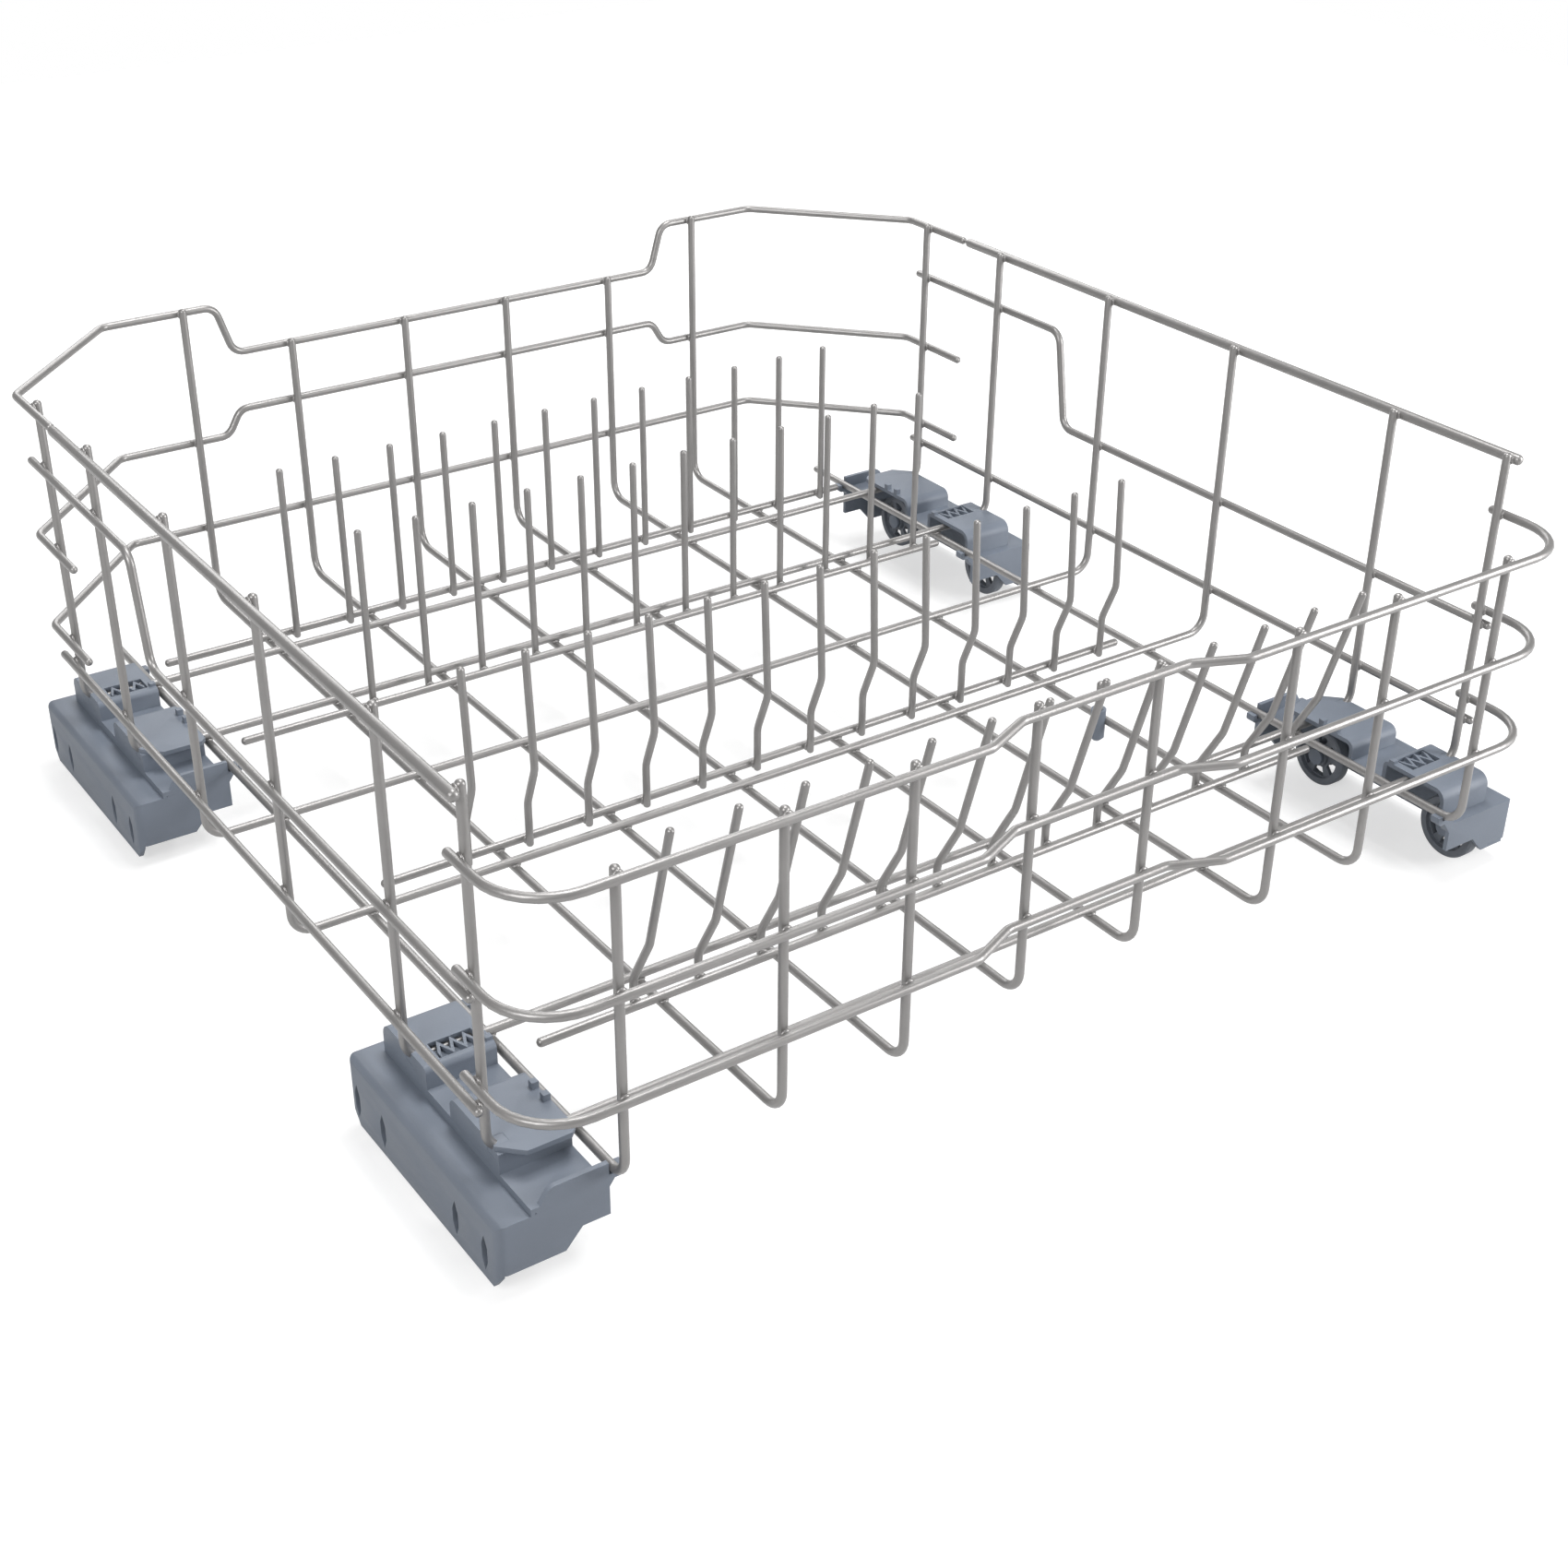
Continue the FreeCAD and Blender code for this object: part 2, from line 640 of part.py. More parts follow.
def end_walls(body):
    """End wall with the raised lip, and the plain one of the block end."""
    lip = [
        ("lip_in", "end_low"),
        ("lip_in", "lip_top"),
        ("lip_flat", "lip_top", "lip_round"),
        ("lip_slant", "shoulder"),
        ("set_out - skin / 2", "shoulder - skin / 2"),
        ("set_out - skin / 2", "toe_low"),
        ("toe_in + toe_run", "toe_low"),
        ("toe_in", "end_low"),
    ]
    pad(body, outline(body, "XZ_Plane", lip, "-set_half"), "skin")
    block = [
        ("set_in", "end_low"),
        ("set_in", "end_deck - skin / 2"),
        ("set_out - skin / 2", "shoulder - skin / 2"),
        ("set_out - skin / 2", "toe_low"),
        ("block_toe + toe_run", "toe_low"),
        ("block_toe", "end_low"),
    ]
    pad(body, outline(body, "XZ_Plane", block, "set_half - skin"), "skin")


def axle_bosses(body):
    """Bored bosses of both wheels, with a pair of lens-shaped slots beside each."""
    lens = [
        ("0", "slot_high / 2"),
        ("slot_wide / 2", "slot_high / 5", "slot_wide"),
        ("slot_wide / 2", "-slot_high / 5", "slot_wide"),
        ("0", "-slot_high / 2"),
        ("-slot_wide / 2", "-slot_high / 5", "slot_wide"),
        ("-slot_wide / 2", "slot_high / 5", "slot_wide"),
    ]
    for place in ("wheel_lip", "-wheel_block"):
        centre = (place, "wheel_radius")
        boss = circle(body, "YZ_Plane", "boss_radius", centre, "boss_in")
        pad(body, boss, "set_out - skin / 2 - boss_in")
        bore = circle(body, "YZ_Plane", "axle_radius", centre, "boss_in - 1")
        pocket(body, bore, "set_out - skin - boss_in + 1")
        for side in (" + slot_off", " - slot_off"):
            moved = [(place + side + " + " + c[0], "slot_middle + " + c[1]) + c[2:] for c in lens]
            slot = outline(body, "YZ_Plane", moved, "set_out - 2 * skin")
            pocket(body, slot, "3 * skin")


def roof_openings(body):
    """Openings for the uprights, the latch window and the cut corners of the first hump."""
    for sign in ("-", ""):
        middle = sign + "cross_pitch / 2"
        opening = [
            ("pass_in", middle + " - pass_wide / 2"),
            ("well_out + 1", middle + " - pass_wide / 2"),
            ("well_out + 1", middle + " + pass_wide / 2"),
            ("pass_in", middle + " + pass_wide / 2"),
        ]
        pocket(body, outline(body, "XY_Plane", opening, "pass_low"), "hump_top")
    window = [
        ("latch_in", "-latch_near"),
        ("latch_out", "-latch_near"),
        ("latch_out", "-latch_far"),
        ("latch_in", "-latch_far"),
    ]
    pocket(body, outline(body, "XY_Plane", window, "hump_top - 2 * skin"), "3 * skin")
    for edge, sign, cut in (("well_out", "-", "plate_cut"), ("set_in", "+", "plate_nick")):
        corner = [
            ("%s %s %s" % (edge, sign, cut), "plate_end"),
            (edge, "plate_end"),
            (edge, "plate_end - " + cut),
        ]
        pocket(body, outline(body, "XY_Plane", corner, "hump_top - skin"), "2 * skin")


def block(body, x, y, long_x, long_y, low, height):
    corners = [
        (x, y),
        ("%s + %s" % (x, long_x), y),
        ("%s + %s" % (x, long_x), "%s + %s" % (y, long_y)),
        (x, "%s + %s" % (y, long_y)),
    ]
    pad(body, outline(body, "XY_Plane", corners, low), height)


def housing(label, x, y, turn):
    """Moulded carrier: a thin roof with two humps over the cross wires, open below and
    towards its front-to-back wire, with a slotted outer wall and bosses for the axles."""
    body = new_body(label, x, y, turn=turn)
    outer_wall(body)
    roof_ribbon(body)
    end_walls(body)
    rounded_ends(body)
    axle_bosses(body)
    roof_openings(body)
    low = "hump_top - skin / 2"
    for place in ("tab_first", "tab_second"):
        block(body, "set_in", place, "tab_wide", "tab_wide", low, "skin / 2 + tab_high")
    post = "-valley_end - tab_wide - hump_round / 2"
    block(body, "set_in", post, "tab_wide", "tab_wide", low, "(skin + tab_high) / 2")
    hook = [
        ("set_in + skin", "end_deck - 2 * skin"),
        ("set_in + skin", "floor_height - wire / 2"),
        ("-wire / 2 - weld", "floor_height - wire / 2"),
        ("-wire / 2 - weld", "floor_height + weld"),
        ("-hook_reach", "floor_height + weld"),
        ("-hook_reach", "floor_height - wire / 2 - skin", "skin"),
        ("0", "floor_height - wire / 2 - skin"),
        ("set_in", "end_deck - 2 * skin"),
    ]
    pad(body, outline(body, "XZ_Plane", hook, "-set_half"), "hook_wide")
    pad(body, outline(body, "XZ_Plane", hook, "set_half - hook_wide"), "hook_wide")
    return body


def latch(label, x, y, turn):
    """Snap plate under the window of the second hump; its zigzag rib reaches over the wire."""
    body = new_body(label, x, y, turn=turn)
    low = "hump_top - skin - latch_thick"
    far = "(cross_pitch / 2 - wire / 2 - latch_lip)"
    block(body, "latch_in - latch_lip", "-" + far, "latch_out - latch_in + 2 * latch_lip",
          far + " - latch_near + latch_lip", low, "latch_thick")
    steps = 6
    upper = []
    lower = []
    for i in range(steps + 1):
        across = "latch_in + latch_lip + %d * (latch_out - latch_in - 2 * latch_lip) / %d" % (i, steps)
        along = "-(latch_near + latch_far) / 2 %s zigzag" % ("-" if i % 2 else "+")
        upper.append((across, along + " + rib_wide"))
        lower.append((across, along + " - rib_wide"))
    band = outline(body, "XY_Plane", upper + lower[::-1], "hump_top - skin - weld")
    pad(body, band, "skin")
    return body


def axle_pins(label, x, y, turn):
    """The two headed pins of a wheel set, held in the bosses of its housing."""
    body = new_body(label, x, y, "wheel_radius", turn)
    head_in = "wheel_in - head_thick - 3 * axle_play"
    for place in ("wheel_lip", "-wheel_block"):
        head = circle(body, "YZ_Plane", "head_radius", (place, "0"), head_in)
        pad(body, head, "head_thick")
        shaft = circle(body, "YZ_Plane", "axle_radius", (place, "0"), head_in)
        pad(body, shaft, "set_out - skin - (%s)" % head_in)
    return body


def wheel(label, x, y, turn):
    """Moulded wheel: rim, thin web with windows and a hub, turned about X."""
    body = new_body(label, x, y, "wheel_radius", turn)
    bore = "axle_radius + axle_play"
    web_in = "wheel_in + (wheel_wide - web) / 2"
    wheel_far = "wheel_in + wheel_wide"
    rim_in = "wheel_radius - rim"
    profile = [
        ("wheel_in", bore),
        (wheel_far, bore),
        (wheel_far, "hub_radius"),
        (web_in + " + web", "hub_radius"),
        (web_in + " + web", rim_in),
        (wheel_far, rim_in),
        (wheel_far, "wheel_radius - tread_edge"),
        (wheel_far + " - tread_edge", "wheel_radius"),
        ("wheel_in + tread_edge", "wheel_radius"),
        ("wheel_in", "wheel_radius - tread_edge"),
        ("wheel_in", rim_in),
        (web_in, rim_in),
        (web_in, "hub_radius"),
        ("wheel_in", "hub_radius"),
    ]
    revolve(body, outline(body, "XY_Plane", profile), "H_Axis")
    gap = [
        ("window_low / 2", "hub_radius + 1"),
        ("window_high / 2", "wheel_radius - rim - 1"),
        ("-window_high / 2", "wheel_radius - rim - 1"),
        ("-window_low / 2", "hub_radius + 1"),
    ]
    cut = pocket(body, outline(body, "YZ_Plane", gap, "wheel_in"), "wheel_wide")
    doc.recompute()
    axis = next(item for item in body.Origin.OriginFeatures if item.Role == "X_Axis")
    round_it = body.newObject("PartDesign::PolarPattern", label + "_round")
    round_it.Originals = [cut]
    round_it.Axis = (axis, [""])
    round_it.Angle = 360
    body.Tip = round_it
    round_it.setExpression("Occurrences", named("windows"))
    return body


def wheel_set(name, side, set_y):
    """Housing, latch, two pins and two wheels; the left sets are turned half round."""
    turn = 180 if side == "-" else 0
    x = side + "long_outer_x"
    yield housing(name + "_housing", x, set_y, turn)
    yield latch(name + "_latch", x, set_y, turn)
    yield axle_pins(name + "_axle_pins", x, set_y, turn)
    places = ["wheel_lip", "wheel_block"]
    if turn:
        places.reverse()
    yield wheel(name + "_rear_wheel", x, "%s + %s" % (set_y, places[0]), turn)
    yield wheel(name + "_front_wheel", x, "%s - %s" % (set_y, places[1]), turn)


parts = list(cross_wires())
parts += list(long_wires())
parts += list(front_rails())
parts.append(back_rail("back_top_rail", "rail_height", "back_dip_height - rail_height"))
parts.append(back_rail("back_mid_rail", "back_mid_height", "back_mid_raise"))
parts.append(back_rail("back_low_rail", "back_low_height", "0"))
parts += list(side_rails())
parts += list(tine_rods())
parts.append(straight_tines("a", "-"))
parts.append(straight_tines("b", "+"))
parts.append(kinked_tines("c", "-", "+ kink_c_back"))
parts.append(kinked_tines("d", "+", "- kink_d_lean"))
parts += list(peg())
for side, sign in (("left", "-"), ("right", "")):
    for end in ("rear", "front"):
        parts += list(wheel_set("%s_%s" % (side, end), sign, end + "_set_y"))

doc.recompute()
for item in doc.Objects:
    if "Invalid" in item.State or "Error" in item.State:
        raise RuntimeError("%s failed: %s" % (item.Label, item.State))
os.makedirs("parts", exist_ok=True)
for part in parts:
    if part.Shape.isNull() or not part.Shape.isValid():
        raise RuntimeError("%s has no valid shape" % part.Label)
    part.Shape.exportStep("parts/%s.step" % part.Label)
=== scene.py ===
import json
from itertools import combinations
from math import cos, degrees, radians, sin, tan

import bmesh
import bpy
from mathutils import Matrix, Vector
from mathutils.geometry import intersect_line_line


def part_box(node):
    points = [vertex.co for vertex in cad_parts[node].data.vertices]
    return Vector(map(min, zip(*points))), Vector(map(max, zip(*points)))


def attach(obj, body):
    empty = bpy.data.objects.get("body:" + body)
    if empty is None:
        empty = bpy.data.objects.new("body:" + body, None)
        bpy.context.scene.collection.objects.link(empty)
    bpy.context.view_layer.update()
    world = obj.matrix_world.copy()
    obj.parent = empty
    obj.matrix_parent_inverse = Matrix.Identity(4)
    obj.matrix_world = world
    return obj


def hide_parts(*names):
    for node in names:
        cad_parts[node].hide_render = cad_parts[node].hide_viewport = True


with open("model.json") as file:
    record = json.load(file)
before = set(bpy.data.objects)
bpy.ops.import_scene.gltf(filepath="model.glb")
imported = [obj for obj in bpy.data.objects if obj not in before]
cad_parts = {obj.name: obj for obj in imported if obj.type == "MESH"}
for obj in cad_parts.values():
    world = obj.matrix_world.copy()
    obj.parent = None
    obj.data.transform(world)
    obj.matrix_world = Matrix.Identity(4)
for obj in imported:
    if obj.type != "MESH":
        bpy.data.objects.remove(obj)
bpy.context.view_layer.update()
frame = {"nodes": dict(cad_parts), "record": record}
mm = 0.001
print("frame loaded:", len(frame["nodes"]), "nodes")


# camera, fitted to the wire crossings in the photo

view = {
    "place": (-544.4, -831.9, 580.0),  # mm
    "forward": (0.49389, 0.70916, -0.50316),
    "right": (0.82335, -0.56747, 0.00839),
    "lens": 51.63,  # mm, as is the sensor
    "sensor": 36,
    "nearest": 0.01,  # m, nothing closer is drawn
}


def addCamera():
    forward = Vector(view["forward"]).normalized()
    right = Vector(view["right"]).normalized()
    up = right.cross(forward)
    turn = Matrix((right, up, -forward)).transposed().to_4x4()
    data = bpy.data.cameras.new("camera")
    data.lens = view["lens"]
    data.sensor_width = view["sensor"]
    data.clip_start = view["nearest"]
    camera = bpy.data.objects.new("camera", data)
    camera.matrix_world = Matrix.Translation(Vector(view["place"]) * mm) @ turn
    bpy.context.scene.collection.objects.link(camera)
    bpy.context.scene.camera = camera


# materials: sockets with operators, so that shader maths reads as an expression

class Socket:
    def __init__(self, tree, socket):
        self.tree = tree
        self.socket = socket

    def maths(self, operation, a, b):
        return self.tree.add("ShaderNodeMath", {"operation": operation}, {0: a, 1: b})

    def __add__(self, other):
        return self.maths("ADD", self, other)

    __radd__ = __add__

    def __mul__(self, other):
        return self.maths("MULTIPLY", self, other)

    __rmul__ = __mul__

    def __rsub__(self, other):
        return self.maths("SUBTRACT", other, self)


class Tree:
    def __init__(self, owner):
        self.owner = owner
        owner.use_nodes = True
        self.nodes = owner.node_tree.nodes
        self.links = owner.node_tree.links
        self.nodes.clear()

    def add(self, kind, settings=None, inputs=None, output=0):
        node = self.nodes.new(kind)
        for name, value in (settings or {}).items():
            setattr(node, name, value)
        for name, value in (inputs or {}).items():
            if isinstance(value, Socket):
                self.links.new(value.socket, node.inputs[name])
            else:
                node.inputs[name].default_value = value
        if node.outputs:
            return Socket(self, node.outputs[output])

    def objectPlace(self):
        return self.add("ShaderNodeTexCoord", output="Object")

    def noise(self, pattern):
        inputs = {"Vector": self.objectPlace(), "Scale": pattern[0], "Detail": pattern[1]}
        return self.add("ShaderNodeTexNoise", {}, inputs)

    def mottled(self, look, pattern):
        # the colour, a little darker and a little lighter by turns
        dark, light = (
            tuple(c * (1 + change) for c in look["colour"]) + (1.0,)
            for change in (-look["mottling"], look["mottling"])
        )
        inputs = {"Factor": pattern, 6: dark, 7: light}
        return self.add("ShaderNodeMix", {"data_type": "RGBA"}, inputs, output=2)

    def relief(self, look, pattern):
        inputs = {"Height": pattern, "Strength": look["relief"], "Distance": look["reliefHeight"]}
        return self.add("ShaderNodeBump", {}, inputs)

    def finish(self, shader, kind="ShaderNodeOutputMaterial"):
        self.add(kind, {}, {"Surface": shader})
        return self.owner


coatedWire = {
    "colour": (0.288, 0.28, 0.275),
    "mottling": 0.12,
    "patch": (60, 3.0),  # lighter and darker patches: scale and detail
    "peel": (900, 2.0),  # orange peel of the coating
    "relief": 0.25,
    "reliefHeight": 0.2 * mm,
    "roughness": 0.36,
    "peelRoughness": 0.1,
    "metallic": 0.65,
    "coat": 0.3,
    "coatRoughness": 0.2,
}

mouldedGrey = {
    "colour": (0.165, 0.190, 0.232),
    "mottling": 0.08,
    "cloud": (45, 3.0),  # cloudiness of the plastic: scale and detail
    "grain": (1800, 3.0),  # spark grain of the mould
    "relief": 0.3,
    "reliefHeight": 0.2 * mm,
    "roughness": 0.42,
    "grainRoughness": 0.15,
    "specular": 0.45,
}

wheelGrey = {
    **mouldedGrey,
    "colour": (0.145, 0.160, 0.185),
    "cloud": (60, 3.0),
    "grain": (1500, 3.0),
}


def coatedMaterial(name, look):
    # nylon coating on steel, with the faint orange peel of a dipped coat
    tree = Tree(bpy.data.materials.new(name))
    patches = tree.noise(look["patch"])
    peel = tree.noise(look["peel"])
    return tree.finish(tree.add("ShaderNodeBsdfPrincipled", {}, {
        "Base Color": tree.mottled(look, patches),
        "Roughness": look["roughness"] + look["peelRoughness"] * peel,
        "Normal": tree.relief(look, peel),
        "Metallic": look["metallic"],
        "Coat Weight": look["coat"],
        "Coat Roughness": look["coatRoughness"],
    }))


def mouldedMaterial(name, look):
    # injection-moulded plastic: spark grain, a little cloudiness, duller where the grain stands up
    tree = Tree(bpy.data.materials.new(name))
    cloud = tree.noise(look["cloud"])
    grain = tree.noise(look["grain"])
    return tree.finish(tree.add("ShaderNodeBsdfPrincipled", {}, {
        "Base Color": tree.mottled(look, cloud),
        "Roughness": look["roughness"] + look["grainRoughness"] * grain,
        "Normal": tree.relief(look, grain),
        "Specular IOR Level": look["specular"],
    }))


materials = {
    "coated_wire": coatedMaterial("coatedWire", coatedWire),
    "moulded_grey": mouldedMaterial("mouldedGrey", mouldedGrey),
    "wheel_grey": mouldedMaterial("wheelGrey", wheelGrey),
}
slotOf = {s["node"]: s["material_slot"] for s in frame["record"]["subparts"]}
for nodeName, cadNode in frame["nodes"].items():
    cadNode.data.materials.clear()
    cadNode.data.materials.append(materials[slotOf[nodeName]])
print("materials made:", len(materials))


# wires: a ring of edges is pulled along the runs and spun round the bends

wire = {
    "across": 6,  # how many run across the rack
    "along": 8,  # how many run from front to back
    "radius": 2.0 * mm,
    "thick": 2.5 * mm,  # top side rails
    "tine": 1.8 * mm,
    "footBend": 10.0 * mm,
    "bend": 8.0 * mm,
    "sides": 16,
    "facet": 12,  # degrees of a bend in one facet
    "dome": 0.85,  # height of a rounded end against its radius
    "domeSteps": 4,
    "domeSweep": radians(84),
}


def edgesIn(geometry):
    return [g for g in geometry if isinstance(g, bmesh.types.BMEdge)]


def vertsIn(geometry):
    return [g for g in geometry if isinstance(g, bmesh.types.BMVert)]


def pullRing(bm, edges, step):
    pulled = bmesh.ops.extrude_edge_only(bm, edges=edges)["geom"]
    bmesh.ops.translate(bm, verts=vertsIn(pulled), vec=step)
    return edgesIn(pulled)


def roundEnd(bm, edges, centre, heading, radius):
    # coating that closes an end in a dome
    rise = radius * wire["dome"]
    width = 1.0
    height = 0.0
    for i in range(1, wire["domeSteps"] + 1):
        angle = wire["domeSweep"] * i / wire["domeSteps"]
        edges = pullRing(bm, edges, heading * (rise * sin(angle) - height))
        height = rise * sin(angle)
        verts = list({v for e in edges for v in e.verts})
        middle = Matrix.Translation(-(centre + heading * height))
        narrower = Vector.Fill(3, cos(angle) / width)
        bmesh.ops.scale(bm, verts=verts, vec=narrower, space=middle)
        width = cos(angle)
    bmesh.ops.contextual_create(bm, geom=edges)


straightRuns = []  # start, end and radius, for the welds


def pullWire(bm, corners, bends, radius):
    corners = [Vector(c) for c in corners]
    straightRuns.extend((a, b, radius) for a, b in zip(corners, corners[1:]))
    heading = firstHeading = (corners[1] - corners[0]).normalized()
    rise = radius * wire["dome"]
    start = at = corners[0] + heading * rise
    place = Matrix.Translation(start) @ heading.to_track_quat("Z", "Y").to_matrix().to_4x4()
    made = bmesh.ops.create_circle(bm, segments=wire["sides"], radius=radius, matrix=place)
    edges = first = list({e for v in made["verts"] for e in v.link_edges})
    for corner, following, bend in zip(corners[1:], corners[2:], bends):
        ahead = (following - corner).normalized()
        angle = heading.angle(ahead)
        reach = bend * tan(angle / 2)
        bendStart = corner - heading * reach
        edges = pullRing(bm, edges, bendStart - at)
        axis = heading.cross(ahead).normalized()
        spun = bmesh.ops.spin(
            bm, geom=edges, cent=bendStart + axis.cross(heading) * bend, axis=axis, angle=angle,
            steps=max(2, round(degrees(angle) / wire["facet"])),
            use_merge=False, use_duplicate=False,
        )
        edges = edgesIn(spun["geom_last"])
        at = corner + ahead * reach
        heading = ahead
    end = corners[-1] - heading * rise
    edges = pullRing(bm, edges, end - at)
    roundEnd(bm, edges, end, heading, radius)
    roundEnd(bm, first, start, -firstHeading, radius)


def finishMesh(bm, name, slot, body="rack"):
    bmesh.ops.recalc_face_normals(bm, faces=bm.faces)
    for face in bm.faces:
        face.smooth = True
    mesh = bpy.data.meshes.new(name)
    bm.to_mesh(mesh)
    bm.free()
    mesh.materials.append(materials[slot])
    piece = bpy.data.objects.new(name, mesh)
    bpy.context.scene.collection.objects.link(piece)
    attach(piece, body)
    return piece


def wirePiece(node, wires, bend=0.0, radius=wire["radius"]):
    # bend is one radius for all the bends, or a list of them
    bm = bmesh.new()
    for corners in wires:
        bends = bend if isinstance(bend, list) else [bend] * (len(corners) - 2)
        pullWire(bm, corners, bends, radius)
    piece = finishMesh(bm, node + "_smooth", slotOf[node])
    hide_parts(node)


def mirrored(half):
    return [(-x, y, z) for x, y, z in reversed(half)]


def crossWires():
    r = wire["radius"]
    for i in range(1, wire["across"] + 1):
        node = "cross_wire_%d" % i
        low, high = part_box(node)
        y = (low.y + high.y) / 2
        left, right, floor = low.x + r, high.x - r, low.z + r
        corners = [(left, y, high.z), (left, y, floor), (right, y, floor), (right, y, high.z)]
        wirePiece(node, [corners], wire["footBend"])


def longWires():
    frontTop = 176.5 * mm
    r = wire["radius"]
    for i in range(1, wire["along"] + 1):
        node = "long_wire_%d" % i
        low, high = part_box(node)
        x = (low.x + high.x) / 2
        front, back, floor = low.y + r, high.y - r, low.z + r
        corners = [(x, front, frontTop), (x, front, floor)]
        if i in (1, wire["along"]):  # the carriers clip to the two outer ones
            corners.append((x, high.y, floor))
        else:
            corners += [(x, back, floor), (x, back, high.z)]
        wirePiece(node, [corners], wire["footBend"])


def frontRails():
    shape = {"corner": 27 * mm, "recess": 10 * mm, "inner": 43 * mm, "outer": 66 * mm}
    r = wire["radius"]
    for name in ("top", "mid", "low"):
        node = "front_%s_rail" % name
        low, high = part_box(node)
        side, front, z = high.x - r, low.y + r, (low.z + high.z) / 2
        half = [
            (shape["inner"], front + shape["recess"], z),
            (shape["outer"], front, z),
            (side, front, z),
            (side, high.y, z),
        ]
        slants = [wire["bend"]] * 4
        bends = [shape["corner"]] + slants + [shape["corner"]]
        wirePiece(node, [mirrored(half) + half], bends)


def backRails():
    shape = {"cutX": 68 * mm, "cutY": 72.5 * mm, "dip": 130 * mm, "slant": 8 * mm}
    rise = {"top": -1, "mid": 1, "low": 0}  # the middle stretch: lowered, raised or level
    r = wire["radius"]
    for name, way in rise.items():
        node = "back_%s_rail" % name
        low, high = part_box(node)
        side, back = high.x - r, high.y - r
        ends, middle = (high.z - r, low.z + r) if way < 0 else (low.z + r, high.z - r)
        half = [
            (side, low.y, ends),
            (side, back - shape["cutY"], ends),
            (side - shape["cutX"], back, ends),
        ]
        if way:
            half += [(shape["dip"] + shape["slant"], back, ends), (shape["dip"], back, middle)]
        wirePiece(node, [half + mirrored(half)], wire["bend"])


def straightPiece(node, along, radius=wire["radius"]):
    low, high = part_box(node)
    start = (low + high) / 2
    end = start.copy()
    start[along], end[along] = low[along], high[along]
    wirePiece(node, [(start, end)], radius=radius)


def sideRails():
    step = {"rear": 70 * mm, "run": 9 * mm}
    r = wire["radius"]
    for side in ("left", "right"):
        straightPiece(side + "_top_rail", 1, wire["thick"])
        straightPiece(side + "_low_rail", 1)
        node = side + "_mid_rail"
        low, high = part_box(node)
        x = (low.x + high.x) / 2
        corners = [
            (x, high.y, high.z - r),
            (x, step["rear"], high.z - r),
            (x, step["rear"] - step["run"], low.z + r),
            (x, low.y, low.z + r),
        ]
        wirePiece(node, [corners], wire["bend"])


tines = {
    "pitch": 31.1 * mm,
    "bend": 12 * mm,
    "rows": {  # mm: where the kink starts and ends, how far it shifts, how far the top leans
        "a": {"count": 12},
        "b": {"count": 12},
        "c": {"count": 13, "low": 64, "high": 85, "shift": 8.5, "lean": -3.0},
        "d": {"count": 13, "low": 55, "high": 79, "shift": 13.5, "lean": 17.5},
    },
}


def tineRows():
    r = wire["tine"]
    for name, row in tines["rows"].items():
        node = "tines_" + name
        low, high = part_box(node)
        foot = high.y - r
        wires = []
        for i in range(row["count"]):
            x = low.x + r + tines["pitch"] * i
            corners = [(x, foot, low.z)]
            if "shift" in row:
                far = foot - row["shift"] * mm
                corners += [(x, foot, row["low"] * mm), (x, far, row["high"] * mm)]
                corners.append((x, far - row["lean"] * mm, high.z))
            else:
                corners.append((x, foot, high.z))
            wires.append(corners)
        wirePiece(node, wires, tines["bend"], r)


def rodsAndPeg():
    for row in tines["rows"]:
        straightPiece("tine_rod_" + row, 0)
    straightPiece("peg_pin", 2)


# resistance welds: the coating fills the corners where two wires cross

weld = {"wide": 2.5 * mm, "thick": 1.15 * mm, "subdivisions": 3}


def within(point, a, b):
    run = b - a
    return 0 < (point - a).dot(run) < run.dot(run)


def welds():
    bm = bmesh.new()
    flat = Matrix.Diagonal((weld["wide"], weld["wide"], weld["thick"], 1))
    for (a, b, r), (c, d, s) in combinations(straightRuns, 2):
        nearest = intersect_line_line(a, b, c, d)
        if not nearest or not within(nearest[0], a, b) or not within(nearest[1], c, d):
            continue
        across = nearest[1] - nearest[0]
        if 0 < across.length < r + s:
            middle = nearest[0] + across * r / (r + s)
            turn = across.to_track_quat("Z", "Y").to_matrix().to_4x4()
            place = Matrix.Translation(middle) @ turn @ flat
            bmesh.ops.create_icosphere(
                bm, subdivisions=weld["subdivisions"], radius=1, matrix=place)
    finishMesh(bm, "weld_fillets", "coated_wire")


# moulded pieces: the CAD mesh merged, its flat faces joined, its edges softened

moulding = {
    "edge": 0.35 * mm,
    "housingEdge": 0.7 * mm,
    "segments": 3,
    "sharp": radians(28),
    "merge": 0.002 * mm,
    "level": radians(1),  # faces closer than this to level are one face
    "cutMerge": 0.0001 * mm,
}

# carrier housings, in mm: near, far and depth are measured in from the outer face
housing = {
    "toe": {"high": 10.8, "low": 3.5, "run": 5.5},  # cut lower corner at the lip end
    "liner": {"near": 4.4, "far": 5.6, "low": 9.2, "high": 32.5, "ends": 3.2},  # behind the slots
    "seat": {"depth": 17.4, "wide": 6.4, "low": 41, "high": 48.4, "off": 33.5},  # round an upright
    "heel": {"near": 3.9, "far": 14.4, "low": 11, "high": 13.3},  # lower edge of the block end
    "foot": {"near": 14.6, "far": 16.2, "low": 31, "high": 33.8},  # foot of the lip
    "inset": 0.05,
    "endThick": 2,
}


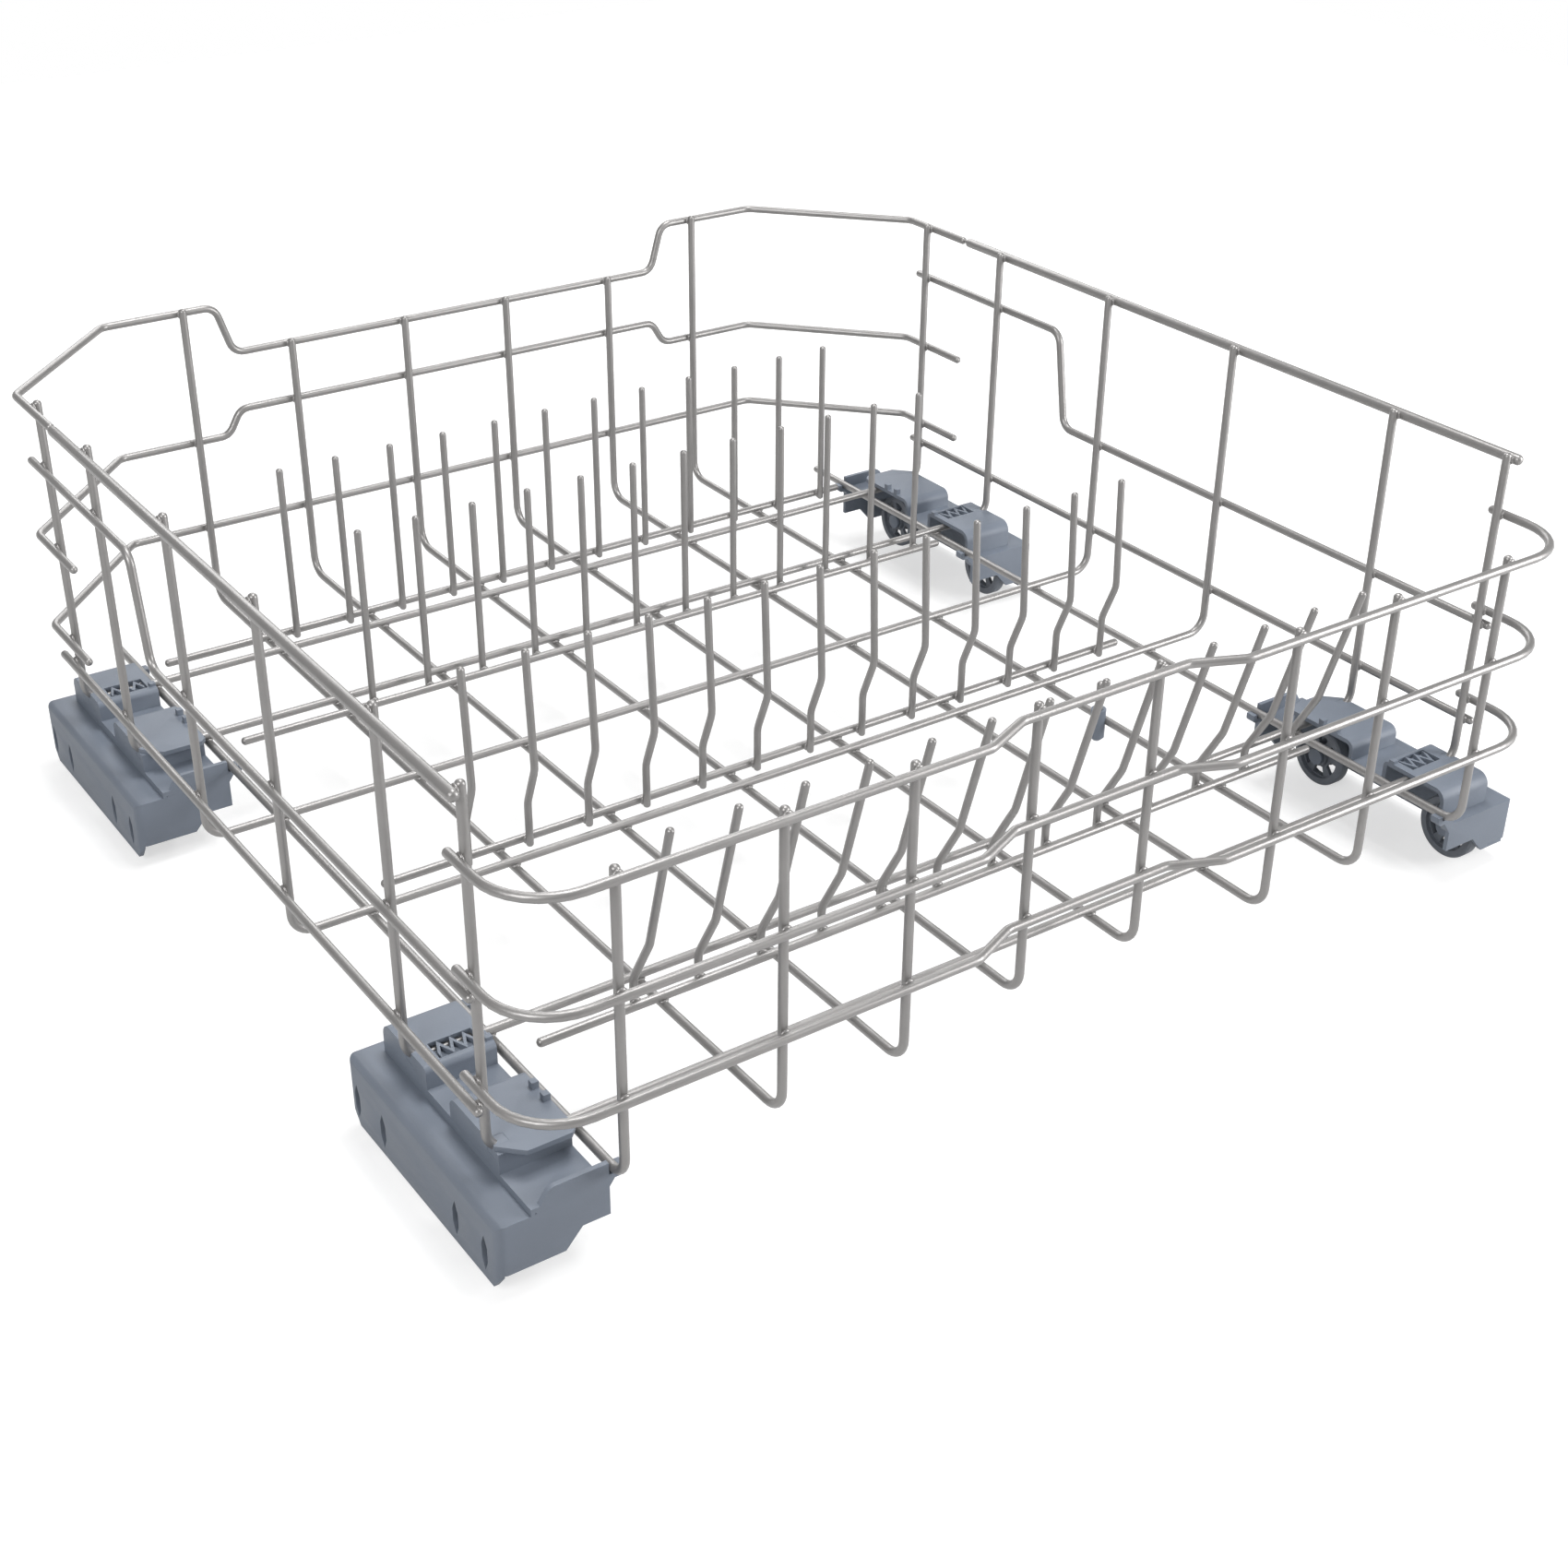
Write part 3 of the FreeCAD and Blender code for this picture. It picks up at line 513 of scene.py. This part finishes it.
class Carrier:
    # a housing's own directions: outwards across it, and along it to its lip end
    def __init__(self, node):
        self.low, self.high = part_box(node)
        right = self.low.x > 0
        self.way = 1 if right else -1
        self.outside = self.high.x if right else self.low.x
        self.middle = (self.low.y + self.high.y) / 2
        self.lipEnd = self.high.y if right else self.low.y
        self.blockEnd = self.low.y if right else self.high.y

    def across(self, near, far):
        return sorted(self.outside - self.way * d * mm for d in (near, far))


def cutToe(bm, carrier):
    toe = housing["toe"]
    cut = bmesh.ops.bisect_plane(
        bm, geom=list(bm.verts) + list(bm.edges) + list(bm.faces), dist=moulding["cutMerge"],
        plane_co=(0, carrier.lipEnd, toe["high"] * mm),
        plane_no=(0, carrier.way * (toe["high"] - toe["low"]) * mm, -toe["run"] * mm),
        clear_outer=True,
    )
    bmesh.ops.holes_fill(bm, edges=edgesIn(cut["geom_cut"]))


def addBlock(bm, spanX, spanY, shape):
    low = Vector((spanX[0], spanY[0], shape["low"] * mm))
    high = Vector((spanX[1], spanY[1], shape["high"] * mm))
    place = Matrix.Translation((low + high) / 2) @ Matrix.Diagonal((*(high - low), 1))
    bmesh.ops.create_cube(bm, size=1, matrix=place)


def addInside(bm, carrier):
    heel, foot, liner, seat = (housing[n] for n in ("heel", "foot", "liner", "seat"))
    reach = (housing["inset"] * mm, housing["endThick"] * mm)
    ends = ((heel, carrier.blockEnd, carrier.way), (foot, carrier.lipEnd, -carrier.way))
    for fill, end, inwards in ends:
        run = sorted(end + inwards * d for d in reach)
        addBlock(bm, carrier.across(fill["near"], fill["far"]), run, fill)
    run = carrier.low.y + liner["ends"] * mm, carrier.high.y - liner["ends"] * mm
    addBlock(bm, carrier.across(liner["near"], liner["far"]), run, liner)
    half = seat["wide"] / 2
    across = carrier.across(seat["depth"] - half, seat["depth"] + half)
    for off in (-seat["off"], seat["off"]):
        run = [carrier.middle + (off + side) * mm for side in (-half, half)]
        addBlock(bm, across, run, seat)


def softened(node, body):
    isHousing = node.endswith("_housing")
    bm = bmesh.new()
    bm.from_mesh(frame["nodes"][node].data)
    bmesh.ops.remove_doubles(bm, verts=bm.verts, dist=moulding["merge"])
    if isHousing:
        carrier = Carrier(node)
        cutToe(bm, carrier)
        addInside(bm, carrier)
    bmesh.ops.dissolve_limit(bm, angle_limit=moulding["level"], verts=bm.verts, edges=bm.edges)
    piece = finishMesh(bm, node + "_soft", slotOf[node], body)
    bevel = piece.modifiers.new("edges", "BEVEL")
    bevel.width = moulding["housingEdge" if isHousing else "edge"]
    bevel.segments = moulding["segments"]
    bevel.limit_method = "ANGLE"
    bevel.angle_limit = moulding["sharp"]
    bevel.harden_normals = True
    bevel.use_clamp_overlap = True
    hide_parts(node)


def mouldedPieces():
    for body, members in frame["record"]["behaviour"]["bodies"].items():
        for node in members:
            if slotOf[node] != "coated_wire":
                softened(node, body)


# daylight studio: place and size in metres, energy in watts

lights = {
    "aim": (0, 0, 0.1),
    "lamps": {
        "key": {"place": (-1.6, -0.9, 1.25), "size": (0.9, 0.9), "energy": 22},
        "overhead": {"place": (0.3, 0.0, 2.0), "size": (1.1, 0.7), "energy": 28},
        "fill": {"place": (1.15, -1.15, 0.55), "size": (0.5, 0.9), "energy": 19},
        "rear": {"place": (0.7, 1.7, 1.1), "size": (1.6, 0.8), "energy": 14},
    },
}

surround = {
    "soft": 0.2,  # strength of the world's light on the object
    "skyMirrored": 0.3,  # share of the white background in reflections
    "floorMirrored": 0.4,
    "floorSize": 1.7,  # half its width; its rim is as white as what lies behind
    "floorDrop": 0.2 * mm,
    "floorColour": (0.5, 0.5, 0.5, 1),
    "floorGlow": 0.8,
    "floorDim": 0.3,  # less glow near the object, so that its shadow shows
}


def addLight(name, values):
    data = bpy.data.lights.new(name, "AREA")
    data.shape = "RECTANGLE"
    data.size, data.size_y = values["size"]
    data.energy = values["energy"]
    lamp = bpy.data.objects.new(name, data)
    lamp.location = values["place"]
    aim = Vector(lights["aim"]) - Vector(values["place"])
    lamp.rotation_euler = aim.to_track_quat("-Z", "Y").to_euler()
    bpy.context.scene.collection.objects.link(lamp)


def lightPaths(tree):
    names = ("Is Camera Ray", "Is Glossy Ray", "Is Transmission Ray")
    return [tree.add("ShaderNodeLightPath", output=name) for name in names]


def addSky():
    world = bpy.data.worlds.new("studio")
    bpy.context.scene.world = world
    tree = Tree(world)
    seen, glossy, through = lightPaths(tree)
    white = {"Color": (1, 1, 1, 1), "Strength": 1.0}
    soft = tree.add("ShaderNodeBackground", {}, {**white, "Strength": surround["soft"]})
    bright = tree.add("ShaderNodeBackground", {}, white)
    share = seen + through + surround["skyMirrored"] * glossy
    sky = tree.add("ShaderNodeMixShader", {}, {0: share, 1: soft, 2: bright})
    tree.finish(sky, "ShaderNodeOutputWorld")


def paleFloorMaterial():
    tree = Tree(bpy.data.materials.new("paleFloor"))
    seen, glossy, through = lightPaths(tree)
    nearness = tree.add(
        "ShaderNodeTexGradient", {"gradient_type": "SPHERICAL"},
        {"Vector": tree.objectPlace()}, output=1)
    shine = (surround["floorGlow"] - surround["floorDim"] * nearness) * (seen + through)
    strength = shine + surround["floorMirrored"] * glossy
    glow = tree.add("ShaderNodeEmission", {}, {"Strength": strength})
    paper = tree.add("ShaderNodeBsdfDiffuse", {}, {"Color": surround["floorColour"]})
    return tree.finish(tree.add("ShaderNodeAddShader", {}, {0: paper, 1: glow}))


def addFloor():
    bm = bmesh.new()
    bmesh.ops.create_grid(bm, x_segments=1, y_segments=1, size=surround["floorSize"])
    mesh = bpy.data.meshes.new("floor")
    bm.to_mesh(mesh)
    bm.free()
    mesh.materials.append(paleFloorMaterial())
    floor = bpy.data.objects.new("floor", mesh)
    floor.location.z = -surround["floorDrop"]
    bpy.context.scene.collection.objects.link(floor)


def studio():
    for name, values in lights["lamps"].items():
        addLight(name, values)
    addSky()
    addFloor()
    bpy.context.scene.view_settings.view_transform = "Standard"


addCamera()
crossWires()
longWires()
frontRails()
backRails()
sideRails()
print("frame wires made")
tineRows()
rodsAndPeg()
print("tines made")
welds()
print("welds made")
mouldedPieces()
print("moulded pieces made")
studio()
print("studio made")
